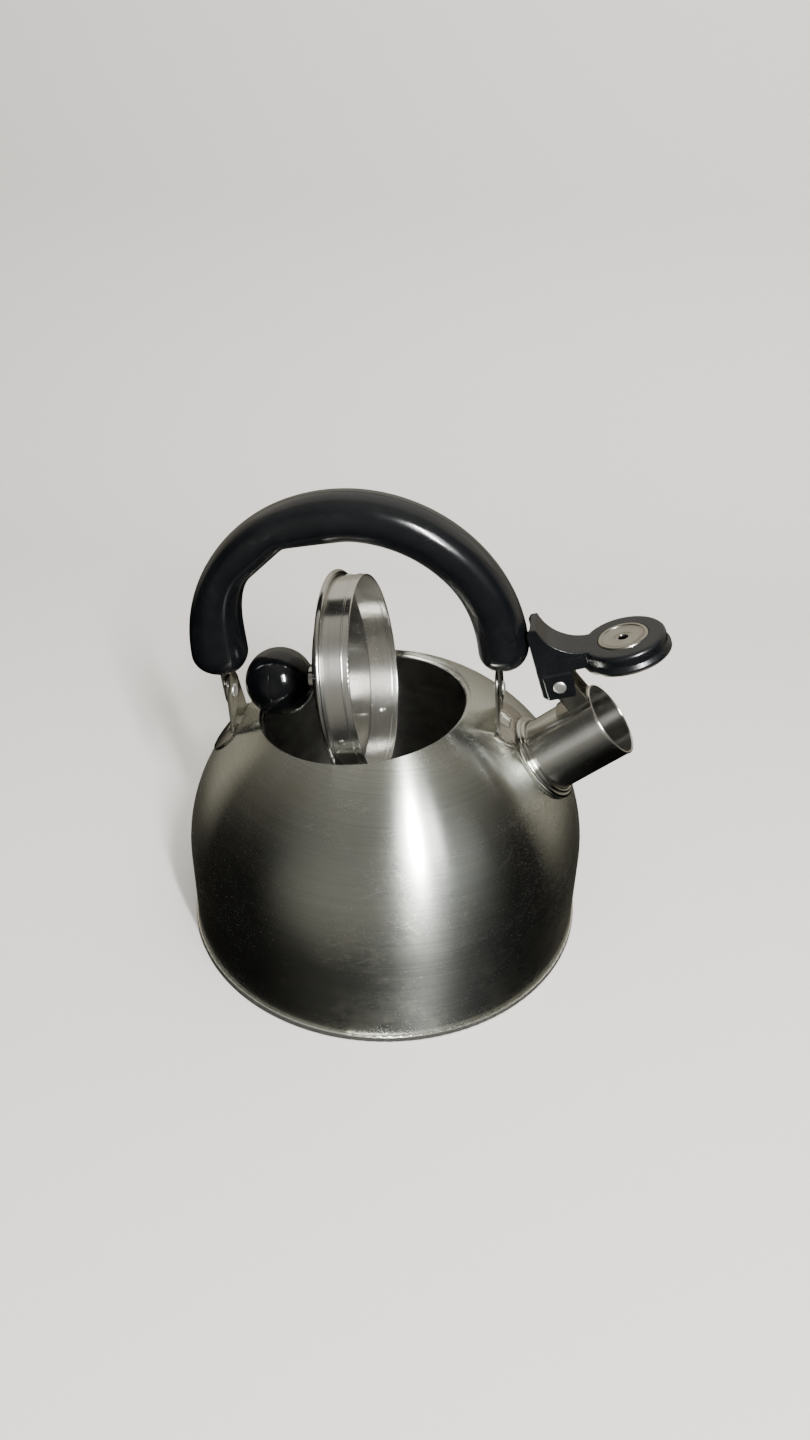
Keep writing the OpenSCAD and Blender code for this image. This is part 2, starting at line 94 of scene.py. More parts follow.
# ---------------------------------------------------------------- camera
PAN, TILT, ROLL = 0.14, -0.596, 0.02    # radians
CAMERA_AT = (0.0684, -0.4238, 0.4033)   # metres
FOCAL_PX = 1082.0           # focal length in pixels of an image IMAGE_H high
IMAGE_H = 1440.0
SENSOR = 36.0               # millimetres, along the image's height


def make_camera():
    """The camera, aimed by pan, tilt and roll."""
    level = math.cos(TILT)
    ahead = Vector((-math.sin(PAN) * level, math.cos(PAN) * level, math.sin(TILT)))
    side = Vector((math.cos(PAN), math.sin(PAN), 0))
    up = side.cross(ahead)
    right = math.cos(ROLL) * side + math.sin(ROLL) * up
    top = math.cos(ROLL) * up - math.sin(ROLL) * side
    data = bpy.data.cameras.new("camera")
    data.sensor_width = SENSOR
    data.lens = FOCAL_PX * SENSOR / IMAGE_H
    data.clip_start = 0.01
    data.clip_end = 50
    cam = bpy.data.objects.new("camera", data)
    place = Matrix((right, top, -ahead)).transposed().to_4x4()
    place.translation = Vector(CAMERA_AT)
    cam.matrix_world = place
    bpy.context.scene.collection.objects.link(cam)
    bpy.context.scene.camera = cam


# ---------------------------------------------------------------- node graphs
class Graph:
    """A node graph, with short calls for the nodes that are used here."""

    def __init__(self, tree):
        self.tree = tree
        tree.nodes.clear()

    def node(self, kind, **settings):
        made = self.tree.nodes.new(kind)
        for key, value in settings.items():
            setattr(made, key, value)
        return made

    def put(self, socket, value):
        if isinstance(value, bpy.types.NodeSocket):
            self.tree.links.new(value, socket)
        else:
            socket.default_value = value

    def math(self, operation, *values):
        made = self.node("ShaderNodeMath", operation=operation)
        for socket, value in zip(made.inputs, values):
            self.put(socket, value)
        return made.outputs[0]

    def vec(self, operation, *values, out="Vector"):
        made = self.node("ShaderNodeVectorMath", operation=operation)
        for socket, value in zip(made.inputs, values):
            self.put(socket, value)
        return made.outputs[out]

    def parts(self, vector):
        made = self.node("ShaderNodeSeparateXYZ")
        self.put(made.inputs[0], vector)
        return made.outputs

    def join(self, x, y, z):
        made = self.node("ShaderNodeCombineXYZ")
        for socket, value in zip(made.inputs, (x, y, z)):
            self.put(socket, value)
        return made.outputs[0]

    def mapped(self, vector, kind="POINT", place=(0, 0, 0), turn=(0, 0, 0), size=(1, 1, 1)):
        made = self.node("ShaderNodeMapping", vector_type=kind)
        self.put(made.inputs["Vector"], vector)
        if kind != "VECTOR":
            made.inputs["Location"].default_value = place
        made.inputs["Rotation"].default_value = turn
        made.inputs["Scale"].default_value = size
        return made.outputs[0]

    def noise(self, vector, scale, detail=2.0, rough=0.5, w=None):
        """Noise about 0.5, whose scale is the number of features in a metre."""
        made = self.node("ShaderNodeTexNoise", noise_dimensions="3D" if w is None else "4D")
        self.put(made.inputs["Vector"], vector)
        made.inputs["Scale"].default_value = scale
        made.inputs["Detail"].default_value = detail
        made.inputs["Roughness"].default_value = rough
        if w is not None:
            self.put(made.inputs["W"], w)
        return made.outputs["Fac"]

    def spots(self, vector, scale, size):
        """1 in small round spots, that many to a metre, fading to 0 outside."""
        made = self.node("ShaderNodeTexVoronoi")
        self.put(made.inputs["Vector"], vector)
        made.inputs["Scale"].default_value = scale
        return self.remap(made.outputs["Distance"], size, size * 0.55, 0, 1)

    def remap(self, value, low, high, to_low=0.0, to_high=1.0):
        """to_low where the value is low, to_high where it is high, and no further."""
        made = self.node("ShaderNodeMapRange", clamp=True)
        for socket, v in zip(made.inputs, (value, low, high, to_low, to_high)):
            self.put(socket, v)
        return made.outputs[0]

    def mix(self, share, a, b):
        """Colour a where share is 0 and b where it is 1."""
        made = self.node("ShaderNodeMix", data_type="RGBA")
        self.put(made.inputs[0], share)
        for socket, value in ((made.inputs[6], a), (made.inputs[7], b)):
            self.put(socket, (*value, 1) if isinstance(value, tuple) else value)
        return made.outputs[2]

    def bump(self, height, strength, depth, under=None):
        made = self.node("ShaderNodeBump")
        made.inputs["Strength"].default_value = strength
        made.inputs["Distance"].default_value = depth
        self.put(made.inputs["Height"], height)
        if under is not None:
            self.put(made.inputs["Normal"], under)
        return made.outputs[0]


class Finish(Graph):
    """A material's graph, which ends in one Principled shader."""

    def __init__(self, name):
        self.mat = bpy.data.materials.new(name)
        self.mat.use_nodes = True
        super().__init__(self.mat.node_tree)
        out = self.node("ShaderNodeOutputMaterial")
        self.bsdf = self.node("ShaderNodeBsdfPrincipled")
        self.tree.links.new(self.bsdf.outputs[0], out.inputs[0])
        coords = self.node("ShaderNodeTexCoord")
        self.p = coords.outputs["Object"]
        self.normal = coords.outputs["Normal"]

    def set(self, **values):
        for key, value in values.items():
            name = key.replace("_", " ").title().replace("Ior", "IOR")
            if isinstance(value, tuple) and len(value) == 3 and "Color" in name:
                value = (*value, 1)
            self.put(self.bsdf.inputs[name], value)


# Colours that the finishes mix in.
STAIN = (0.46, 0.4, 0.28)
BURNT = (0.42, 0.35, 0.27)
WATER_SPOT = (0.78, 0.74, 0.68)
SCRATCH = (0.9, 0.88, 0.84)
# The rim's brighter colour is a painted highlight.
RIM_PAINTED_HIGHLIGHT = (0.86, 0.85, 0.82)
NICK = (0.25, 0.22, 0.19)
DUST = (0.16, 0.155, 0.145)
RUBBED = (0.12, 0.12, 0.12)
BLACK_LOW, BLACK_HIGH = (0.0042, 0.005, 0.0066), (0.008, 0.009, 0.011)


def shaded(colour, share):
    return tuple(share * c for c in colour)


def near(g, point, radius):
    """1 close to a point given in metres, falling to 0 at that radius."""
    away = g.vec("DISTANCE", g.p, tuple(point), out="Value")
    return g.remap(away, radius, radius * 0.5, 0, 1)


def hairlines(g, u, v, turn, length, gap, width, mask):
    """Thin straight scratches on a surface whose flat coordinates u and v are in metres.

    They are the level lines of a noise drawn out along one direction, turned by an angle."""
    c, s = math.cos(turn), math.sin(turn)
    along = g.math("ADD", g.math("MULTIPLY", u, c / length), g.math("MULTIPLY", v, s / length))
    across = g.math("ADD", g.math("MULTIPLY", u, -s / gap), g.math("MULTIPLY", v, c / gap))
    drawn_out = g.noise(g.join(along, across, turn * 7), 1, 0)
    level = g.math("ABSOLUTE", g.math("SUBTRACT", drawn_out, 0.5))
    line = g.remap(level, width, width * 0.3, 0, 1)
    return g.math("MULTIPLY", line, mask)


def steel(name, axis, colour, rough, lines=0.16, fine=900.0, aniso=0.75, stain=0.0, film=0.0,
          spots=0.0, scratch=0.0, worn=(), inside=None, bump=0.05, unroll=0.095, contrast=0.22,
          rim=None, shine=1.0):
    """Steel turned or brushed round an axis, with lines, stains, water spots and scratches.

    lines is how far the roughness swings, fine how close the lines are, and worn the places with
    more scratches. unroll is the radius at which scratches are laid out. inside gives the colour
    and added roughness of faces turned towards a centre, rim the height in millimetres from which
    the edge is smoother and painted brighter as a highlight, and shine the share of the surface
    that reflects as bare metal."""
    g = Finish(name)
    euler = tuple(axis.to_euler())
    local = g.mapped(g.p, kind="TEXTURE", place=tuple(axis.translation), turn=euler)
    x, y, h = g.parts(local)
    r = g.vec("LENGTH", g.join(x, y, 0.0), out="Value")
    tangent = g.mapped(g.join(g.math("MULTIPLY", y, -1.0), x, 0.0), kind="VECTOR", turn=euler)
    to_world = g.node("ShaderNodeVectorTransform", vector_type="VECTOR",
                      convert_from="OBJECT", convert_to="WORLD")
    g.put(to_world.inputs[0], tangent)

    def lines_at(along, across):
        drawn = g.join(g.math("MULTIPLY", x, along), g.math("MULTIPLY", y, along),
                       g.math("MULTIPLY", h, across))
        return g.noise(drawn, 1, 3, 0.7, w=g.math("MULTIPLY", r, across))

    wide = lines_at(8.0, fine * 0.3)
    coarse = lines_at(14.0, fine)
    thin = lines_at(40.0, fine * 3.0)
    brushed = g.math("ADD", g.math("MULTIPLY", coarse, 0.6), g.math("MULTIPLY", thin, 0.4))
    uneven = g.math("MULTIPLY_ADD", wide, 0.12, g.math("MULTIPLY", brushed, 0.88))
    swing = g.math("SUBTRACT", uneven, 0.5)
    rough_at = g.math("MULTIPLY_ADD", swing, lines, rough)
    colour_at = g.mix(g.remap(brushed, 0.35, 0.65), shaded(colour, 1 - contrast), colour)

    if stain:
        cloud = g.math("MULTIPLY", g.remap(g.noise(g.p, 34, 5, 0.62), 0.47, 0.7),
                       g.remap(g.noise(g.p, 130, 3, 0.6), 0.3, 0.62))
        tint = g.math("MULTIPLY", cloud, stain)
        colour_at = g.mix(tint, colour_at, STAIN)
        rough_at = g.math("ADD", rough_at, g.math("MULTIPLY", tint, 0.16))
    metal = shine
    if film:
        haze = g.math("MULTIPLY", g.remap(g.noise(g.p, 20, 4, 0.6), 0.38, 0.68),
                      g.remap(g.noise(g.p, 260, 5, 0.75), 0.25, 0.75))
        haze = g.math("MULTIPLY", haze, film)
        metal = g.math("SUBTRACT", shine, haze)
        colour_at = g.mix(haze, colour_at, BURNT)
    smudge = g.remap(g.noise(g.p, 16, 4, 0.55), 0.35, 0.7, -0.015, 0.02)
    rough_at = g.math("ADD", rough_at, smudge)
    if spots:
        where = g.remap(g.noise(g.p, 26, 2), 0.5, 0.62)
        drops = g.math("MAXIMUM", g.spots(g.p, 230, 0.2), g.spots(g.p, 600, 0.22))
        dots = g.math("MULTIPLY", drops, where)
        dots = g.math("MULTIPLY", dots, spots)
        colour_at = g.mix(dots, colour_at, WATER_SPOT)
        rough_at = g.math("ADD", rough_at, g.math("MULTIPLY", dots, 0.14))
    normal = g.bump(brushed, bump, 0.0003)
    if scratch:
        mask = g.remap(g.noise(g.p, 40, 2), 0.52, 0.66, 0, 0.7)
        for point, radius in worn:
            mask = g.math("MAXIMUM", mask, near(g, point, radius))
        u = g.math("MULTIPLY", g.math("ARCTAN2", y, x), unroll)
        v = g.math("SUBTRACT", h, r)
        marks = 0.0
        for turn, length, gap in ((0.5, 0.022, 0.0032), (-0.7, 0.012, 0.0026), (1.9, 0.01, 0.004)):
            marks = g.math("MAXIMUM", marks, hairlines(g, u, v, turn, length, gap, 0.013, mask))
        marks = g.math("MULTIPLY", marks, scratch)
        colour_at = g.mix(marks, colour_at, SCRATCH)
        rough_at = g.math("ADD", rough_at, g.math("MULTIPLY", marks, 0.1))
        normal = g.bump(g.math("SUBTRACT", 1.0, marks), 0.1, 0.00004, normal)
    if inside is not None:
        centre, inner_colour, inner_rough = inside
        out = g.vec("NORMALIZE", g.vec("SUBTRACT", g.p, centre))
        facing = g.vec("DOT_PRODUCT", out, g.normal, out="Value")
        within = g.remap(facing, 0.1, -0.1)
        dull = g.mix(g.remap(g.noise(g.p, 60, 4, 0.6), 0.3, 0.7), inner_colour,
                     shaded(inner_colour, 0.6))
        colour_at = g.mix(within, colour_at, dull)
        rough_at = g.math("ADD", rough_at, g.math("MULTIPLY", within, inner_rough))
    # The rim band is smoother, a real polish, and painted brighter, a painted highlight along the
    # edge.
    if rim is not None:
        edge = g.remap(h, rim * MM, (rim + 0.3) * MM)
        colour_at = g.mix(edge, colour_at, RIM_PAINTED_HIGHLIGHT)
        rough_at = g.math("MULTIPLY", rough_at, g.math("MULTIPLY_ADD", edge, -0.4, 1.0))
    g.set(base_color=colour_at, metallic=metal, roughness=g.math("MAXIMUM", rough_at, 0.06),
          anisotropic=aniso, anisotropic_rotation=0.25, tangent=to_world.outputs[0], normal=normal)
    return g.mat


def strip_steel(name, along, colour, rough):
    """Flat pressed strip with a straight grain, dull patches and small nicks.

    along has a 1 for each of x, y and z that the grain runs along."""
    g = Finish(name)
    grain = g.noise(g.mapped(g.p, size=tuple(60 if a else 1500 for a in along)), 1, 3, 0.7)
    patch = g.noise(g.p, 120, 4, 0.6)
    nick = g.math("MULTIPLY", g.spots(g.p, 420, 0.22), g.remap(g.noise(g.p, 90, 2), 0.55, 0.65))
    colour_at = g.mix(g.remap(patch, 0.4, 0.7), colour, shaded(colour, 0.86))
    colour_at = g.mix(g.math("MULTIPLY", nick, 0.5), colour_at, NICK)
    rough_at = g.math("ADD", g.math("MULTIPLY_ADD", g.math("SUBTRACT", grain, 0.5), 0.2, rough),
                      g.remap(patch, 0.35, 0.7, -0.04, 0.12))
    normal = g.bump(nick, 0.25, 0.0001, g.bump(grain, 0.05, 0.0002))
    g.set(base_color=colour_at, metallic=1.0, roughness=rough_at, normal=normal)
    return g.mat


def bakelite(name, rough, shade):
    """Black phenolic moulding: slight orange peel, finger marks, dust and fine scratches."""
    g = Finish(name)
    peel = g.noise(g.p, 420, 2, 0.5)
    film = g.noise(g.p, 45, 5, 0.65)
    dust = g.math("MULTIPLY", g.spots(g.p, 1300, 0.16), g.remap(g.noise(g.p, 50, 2), 0.55, 0.7))
    mask = g.remap(g.noise(g.p, 60, 2), 0.5, 0.6)
    u, v, w = g.parts(g.p)
    flat = g.math("ADD", g.math("MULTIPLY", v, 1.3), w)
    marks = g.math("MAXIMUM", hairlines(g, u, flat, 0.6, 0.03, 0.0012, 0.016, mask),
                   hairlines(g, u, flat, -0.9, 0.02, 0.001, 0.016, mask))
    colour_at = g.mix(g.remap(film, 0.35, 0.75),
                      shaded(BLACK_LOW, shade), shaded(BLACK_HIGH, shade))
    colour_at = g.mix(g.math("MULTIPLY", dust, 0.12), colour_at, DUST)
    colour_at = g.mix(g.math("MULTIPLY", marks, 0.05), colour_at, RUBBED)
    rough_at = g.math("ADD", g.remap(film, 0.3, 0.75, rough - 0.03, rough + 0.07),
                      g.math("MULTIPLY", marks, 0.05))
    g.set(base_color=colour_at, roughness=rough_at, normal=g.bump(peel, 0.06, 0.0003),
          ior=1.54)
    return g.mat


# ---------------------------------------------------------------- pieces in mesh code
def mesh_of(name, points, faces, place):
    """Mesh from points in millimetres of a local frame."""
    mesh = bpy.data.meshes.new(name)
    mesh.from_pydata([place @ (Vector(p) * MM) for p in points], [], faces)
    mesh.validate()
    return mesh


def edit(mesh, work):
    """Runs work on the mesh as a bmesh and writes the result back."""
    bm = bmesh.new()
    bm.from_mesh(mesh)
    work(bm)
    bm.to_mesh(mesh)
    bm.free()


def face_out(bm):
    bmesh.ops.recalc_face_normals(bm, faces=bm.faces)


def weld(bm, gap):
    bmesh.ops.remove_doubles(bm, verts=bm.verts, dist=gap)


def add_piece(name, mesh, body, stands_for, material, sharp=35):
    """Links a new piece, smooth but for edges sharper than that angle, on its CAD body."""
    edit(mesh, face_out)
    mesh.shade_smooth()
    mesh.set_sharp_from_angle(angle=math.radians(sharp))
    piece = bpy.data.objects.new(name, mesh)
    bpy.context.scene.collection.objects.link(piece)
    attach(piece, body)
    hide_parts(*stands_for)
    mesh.materials.clear()
    mesh.materials.append(material)


def settled(obj):
    """The object's mesh with its modifiers applied, and the object removed."""
    bpy.context.view_layer.update()
    mesh = bpy.data.meshes.new_from_object(obj.evaluated_get(bpy.context.evaluated_depsgraph_get()))
    mesh.name = obj.name
    bpy.data.objects.remove(obj)
    return mesh


def loose(name, mesh):
    """An object for modifiers to work on, which isn't kept as a piece."""
    obj = bpy.data.objects.new(name, mesh)
    bpy.context.scene.collection.objects.link(obj)
    return obj


def lathe(name, profile, place, steps=96):
    """Turned mesh from (radius, height) points in millimetres, from pole to pole."""
    points, rings, faces = [], [], []
    for r, h in profile:
        if r < 1e-6:
            rings.append([len(points)])
            points.append((0, 0, h))
        else:
            start = len(points)
            rings.append(list(range(start, start + steps)))
            turns = [2 * math.pi * i / steps for i in range(steps)]
            points += [(r * math.cos(a), r * math.sin(a), h) for a in turns]
    for low, high in zip(rings, rings[1:]):
        for i in range(steps):
            n = (i + 1) % steps
            if len(low) == 1 and len(high) > 1:
                faces.append((low[0], high[n], high[i]))
            elif len(high) == 1 and len(low) > 1:
                faces.append((low[i], low[n], high[0]))
            elif len(low) > 1:
                faces.append((low[i], low[n], high[n], high[i]))
    return mesh_of(name, points, faces, place)


def node_copy(node, name):
    """A welded copy of a CAD node's mesh, with flat areas merged into single faces."""
    mesh = nodes[node].data.copy()
    mesh.name = name
    mesh.materials.clear()

    def merge(bm):
        weld(bm, 2e-6)
        bmesh.ops.dissolve_limit(bm, angle_limit=math.radians(1.5), verts=bm.verts, edges=bm.edges)

    edit(mesh, merge)
    if "custom_normal" in mesh.attributes:
        mesh.attributes.remove(mesh.attributes["custom_normal"])
    return mesh


def bevelled(node, name, width_mm):
    """A copy of a CAD node's mesh with its sheet edges rounded over."""
    obj = loose(name, node_copy(node, name))
    cut = obj.modifiers.new("edges", "BEVEL")
    cut.width = width_mm * MM
    cut.segments = 2
    cut.limit_method = "ANGLE"
    cut.angle_limit = math.radians(38)
    cut.use_clamp_overlap = True
    return settled(obj)


# Grip: the CAD's arch with finer rings, soft corners and the mould's parting groove. Lengths are
# in millimetres in the crown's frame; angles are in degrees round the arch, from front to rear.
ARCH_Z = 116.0              # height of the arch's centre
ARCH_R = 79.35              # outer radius
ARCH_INNER = 58.2           # inner radius, where it is round
GRIP_W = 25.0
START = 2.5                 # angle at which the front end starts; the rear end matches
FLATS_FROM = 86             # angle at which the first of the two inner flats starts
# Corners of the two flats, across and up from the arch's centre.
FLAT_A = (ARCH_INNER * math.cos(math.radians(FLATS_FROM)),
          ARCH_INNER * math.sin(math.radians(FLATS_FROM)))
FLAT_B = (-25.0, ARCH_INNER - 2.5)
FLAT_C = (-44.4, ARCH_INNER - 17.5)
# The angles at which the second flat starts and ends.
ANGLE_B = math.degrees(math.atan2(FLAT_B[1], FLAT_B[0]))
ANGLE_C = math.degrees(math.atan2(FLAT_C[1], FLAT_C[0]))
FRONT_SWELL, REAR_SWELL = 1.8, 7.0      # how much the ends thicken inwards
SWELL_TO = 40               # angle at which the front swell has died out
END_L = 11.0                # length of each rounded end
SECTION_POWER = 0.86        # 1 is an ellipse, less is squarer
GROOVE, GROOVE_W = 0.16, 0.22
SOCKET_X = (64.95, 66.25)   # the tangs' sockets: inner and outer wall, half width, and heights
SOCKET_Y = 6.55
SOCKET_Z = (97, 121.05)


def smooth(t):
    """Ease from 0 to 1."""
    u = min(1, max(0, t))
    return u * u * (3 - 2 * u)


def line_radius(a, p, q):
    """Distance from the arch's centre, at angle a, to the line through p and q."""
    nx, nz = p[1] - q[1], q[0] - p[0]
    a = math.radians(a)
    return (p[0] * nx + p[1] * nz) / (nx * math.cos(a) + nz * math.sin(a))


def arch_inner(a):
    """The inner radius at angle a, with sharp corners between its parts."""
    if a <= FLATS_FROM:
        return ARCH_INNER - FRONT_SWELL * smooth((SWELL_TO - a) / SWELL_TO)
    if a < ANGLE_B:
        return line_radius(a, FLAT_A, FLAT_B)
    if a <= ANGLE_C:
        return line_radius(a, FLAT_B, FLAT_C)
    return math.hypot(*FLAT_C) - REAR_SWELL * smooth((a - ANGLE_C) / (180 - START - ANGLE_C))


def soft_inner(a):
    """The inner radius with its corners rounded over a few degrees."""
    reach = 2.0
    shifts = [-1, -0.6, -0.25, 0, 0.25, 0.6, 1]
    angles = [min(180 - START, max(START, a + reach * s)) for s in shifts]
    return sum(arch_inner(b) for b in angles) / len(angles)


def squared(v):
    """The sine or cosine v, pushed towards a squarer section."""
    return math.copysign(abs(v) ** SECTION_POWER, v)


def grip_mesh():
    """Rings along the arch, closer together round the groove, with a rounded end at each side."""
    fine = [0, 0.3, 0.75, 1.4, 2.6, 4.6, 7.5]
    quarter = fine + [fine[-1] + (90 - fine[-1]) * i / 15 for i in range(1, 16)]
    half = quarter + [180 - t for t in reversed(quarter[:-1])]
    section = half + [360 - t for t in reversed(half[1:-1])]
    sides = len(section)
    caps = 16
    steps = 210
    rings = [(START, 90 * (1 - i / caps)) for i in range(1, caps)]
    rings += [(START + (180 - 2 * START) * i / steps, 0) for i in range(steps + 1)]
    rings += [(180 - START, 90 * i / caps) for i in range(1, caps)]
    points = []
    for a, t in rings:
        inner = soft_inner(a)
        mid, thick = (ARCH_R + inner) / 2, (ARCH_R - inner) / 2
        k = math.cos(math.radians(t))
        drop = END_L * math.sin(math.radians(t))
        ca, sa = math.cos(math.radians(a)), math.sin(math.radians(a))
        for s in section:
            cs, sn = math.cos(math.radians(s)), math.sin(math.radians(s))
            y = k * GRIP_W / 2 * squared(sn)
            r = k * thick * squared(cs)
            r -= math.copysign(GROOVE * math.exp(-(y / GROOVE_W) ** 2), cs) * min(1, k * 1.5)
            points.append(((mid + r) * ca, y, ARCH_Z + (mid + r) * sa - drop))
    for a in (START, 180 - START):
        mid = (ARCH_R + soft_inner(a)) / 2
        ca, sa = math.cos(math.radians(a)), math.sin(math.radians(a))
        points.append((mid * ca, 0, ARCH_Z + mid * sa - END_L))
    count = len(rings)
    faces = []
    for j in range(count - 1):
        for i in range(sides):
            n = (i + 1) % sides
            faces.append((j * sides + i, j * sides + n, (j + 1) * sides + n, (j + 1) * sides + i))
    for i in range(sides):
        n = (i + 1) % sides
        faces.append((count * sides, n, i))
        faces.append((count * sides + 1, (count - 1) * sides + i, (count - 1) * sides + n))
    return mesh_of("grip", points, faces, CROWN)


def make_grip(material):
    """The grip, with a socket cut in each end for its tang."""
    obj = loose("grip_body", grip_mesh())
    cutters = []
    for side in (-1, 1):
        corners = [(side * x, y, z)
                   for x in SOCKET_X for y in (-SOCKET_Y, SOCKET_Y) for z in SOCKET_Z]
        faces = [(0, 1, 3, 2), (4, 6, 7, 5), (0, 4, 5, 1), (2, 3, 7, 6), (0, 2, 6, 4), (1, 5, 7, 3)]
        mesh = mesh_of("socket", corners, faces, CROWN)
        edit(mesh, face_out)
        cutter = loose("socket", mesh)
        cutters.append(cutter)
        cut = obj.modifiers.new("socket", "BOOLEAN")
        cut.operation = "DIFFERENCE"
        cut.solver = "EXACT"
        cut.object = cutter
    mesh = settled(obj)
    for cutter in cutters:
        bpy.data.objects.remove(cutter)
    add_piece("grip", mesh, "handle", ["handle_grip"], material, sharp=50)


def make_lever(material):
    """The lever and cap with the soft edges of a moulding."""
    mesh = node_copy("whistle_lever", "lever")
    mesh.transform(LEVER.inverted())
    obj = loose("lever_body", mesh)
    for kind, values in (("REMESH", {"mode": "VOXEL", "voxel_size": 0.3 * MM}),
                         ("SMOOTH", {"factor": 0.5, "iterations": 7})):
        made = obj.modifiers.new(kind.lower(), kind)
        for key, value in values.items():
            setattr(made, key, value)
    mesh = settled(obj)
    mesh.transform(LEVER)
    add_piece("lever", mesh, "whistle", ["whistle_lever"], material, sharp=60)


def make_knob(material):
    """The ball knob: a flat foot round the screw's hole, and the mould's parting line round it."""
    radius, centre, flat = 16.4, 33.4, 17.6
    hole_r = 2.05
    line_depth, line_width, line_band = 0.14, 0.75, 3   # millimetres, then degrees
    low = math.degrees(math.asin((flat - centre) / radius))
    profile = [(0, flat), (hole_r, flat)]
    edge = radius * math.cos(math.radians(low))
    profile += [(edge - 0.35, flat), (edge - 0.1, flat + 0.08)]
    angles = [low + 1.2 + (-line_band - low - 1.2) * i / 30 for i in range(31)]
    angles += [-2, -1.3, -0.8, -0.4, 0, 0.4, 0.8, 1.3, 2, line_band]
    angles += [line_band + (90 - line_band) * i / 36 for i in range(1, 37)]
    for a in angles:
        arc = math.radians(a)
        r = radius - line_depth * math.exp(-(a / line_width) ** 2)
        profile.append((max(0, r * math.cos(arc)) if a < 90 else 0, centre + r * math.sin(arc)))
    mesh = lathe("knob", profile, LID, 128)
    add_piece("knob", mesh, "lid", ["lid_knob"], material, sharp=50)


def make_disc(material):
    """The whistle's dished disc: a rolled rim, a hollow ring and a raised lip round the hole."""
    low, rim_r, roll, hole_r = 13.05, 10.2, 1.05, 2.2
    top = ((hole_r, 0.8), (2.35, 1.02), (2.75, 1.1), (3.4, 0.9), (4.4, 0.55), (5.8, 0.42),
           (7.2, 0.62), (8.4, 1.05), (9.1, 1.28))
    rim = [(rim_r + roll * math.cos(math.radians(a)), 0.9 + roll * math.sin(math.radians(a)))
           for a in range(155, -156, -10)]
    under = ((9.1, 0.5), (5.8, 0.02), (hole_r, 0.0))
    profile = [(r, low + h) for r, h in ((hole_r, 0.0), *top, *rim, *under)]
    mesh = lathe("disc", profile, CAP)
    edit(mesh, lambda bm: weld(bm, 1e-7))
    add_piece("disc", mesh, "whistle", ["whistle_disc"], material, sharp=60)


def dome_head(r, h):
    """Half profile of a rivet's domed head, from its edge to its pole."""
    return [(r - 0.12, 0.0), (r, 0.12 * h), (0.985 * r, 0.3 * h), (0.9 * r, 0.55 * h),
            (0.76 * r, 0.76 * h), (0.55 * r, 0.91 * h), (0.3 * r, 0.98 * h), (0, h)]


def make_rivet(name, place, length, shank, head_r, head_h, body, node, material):
    """A shank from the place's origin up its z, with the same domed head at both ends."""
    head = dome_head(head_r, head_h)
    profile = [(r, -h) for r, h in reversed(head)] + [(shank, 0), (shank, length)]
    profile += [(r, length + h) for r, h in head]
    mesh = lathe(name, profile, place, 48)
    add_piece(name, mesh, body, [node], material, sharp=50)


# ---------------------------------------------------------------- stage and light
MIDDLE = (0.02, 0, 0.08)    # the kettle's middle, which the lamps aim at
BACKDROP = (0.62, 0.605, 0.58)


def make_stage():
    """A pale paper floor that bends up into a wall behind the kettle.

    It is left out of reflections, so that the steel's lower walls reflect a dark room."""
    half_w, front_y, wall_y, wall_h, bend = 6.0, -6.0, 0.62, 2.4, 0.25
    profile = [(front_y, 0.0), (wall_y - bend, 0.0)]
    profile += [(wall_y - bend + bend * math.sin(a), bend - bend * math.cos(a))
                for a in (math.pi / 2 * i / 24 for i in range(1, 25))]
    profile += [(wall_y, wall_h)]
    verts = [(side * half_w, y, z) for y, z in profile for side in (-1, 1)]
    faces = [(2 * i, 2 * i + 1, 2 * i + 3, 2 * i + 2) for i in range(len(profile) - 1)]
    mesh = bpy.data.meshes.new("floor")
    mesh.from_pydata(verts, [], faces)
    mesh.shade_smooth()
    floor = bpy.data.objects.new("floor", mesh)
    bpy.context.scene.collection.objects.link(floor)
    floor.visible_glossy = False
    floor.visible_shadow = False
    g = Finish("floor_paper")
    g.set(base_color=BACKDROP, roughness=0.7)
    mesh.materials.append(g.mat)


def area(name, place, aim, size, power, colour):
    """A rectangular lamp that the camera doesn't see."""
    data = bpy.data.lights.new(name, "AREA")
    data.shape = "RECTANGLE"
    data.size, data.size_y = size
    data.energy = power
    data.color = colour
    obj = bpy.data.objects.new(name, data)
    obj.location = place
    obj.visible_camera = False
    obj.rotation_mode = "QUATERNION"
    obj.rotation_quaternion = (Vector(aim) - Vector(place)).to_track_quat("-Z", "Y")
    bpy.context.scene.collection.objects.link(obj)
    return obj


def around(azimuth, elevation, distance, centre=MIDDLE):
    """A place seen from the kettle at that azimuth, from -Y towards +X, and elevation."""
    a, e = math.radians(azimuth), math.radians(elevation)
    return (centre[0] + distance * math.sin(a) * math.cos(e),
            centre[1] - distance * math.cos(a) * math.cos(e), centre[2] + distance * math.sin(e))


# Soft glows in the dark room in front: azimuth and elevation, the angles from their middle at
# which they are full and gone, and colour times strength.
GLOWS = (
    (10, 26, 8, 74, (0.19, 0.19, 0.18)),
    (-20, 2, 4, 38, (0.14, 0.132, 0.104)),
    (48, 26, 2, 26, (0.34, 0.35, 0.35)),
)


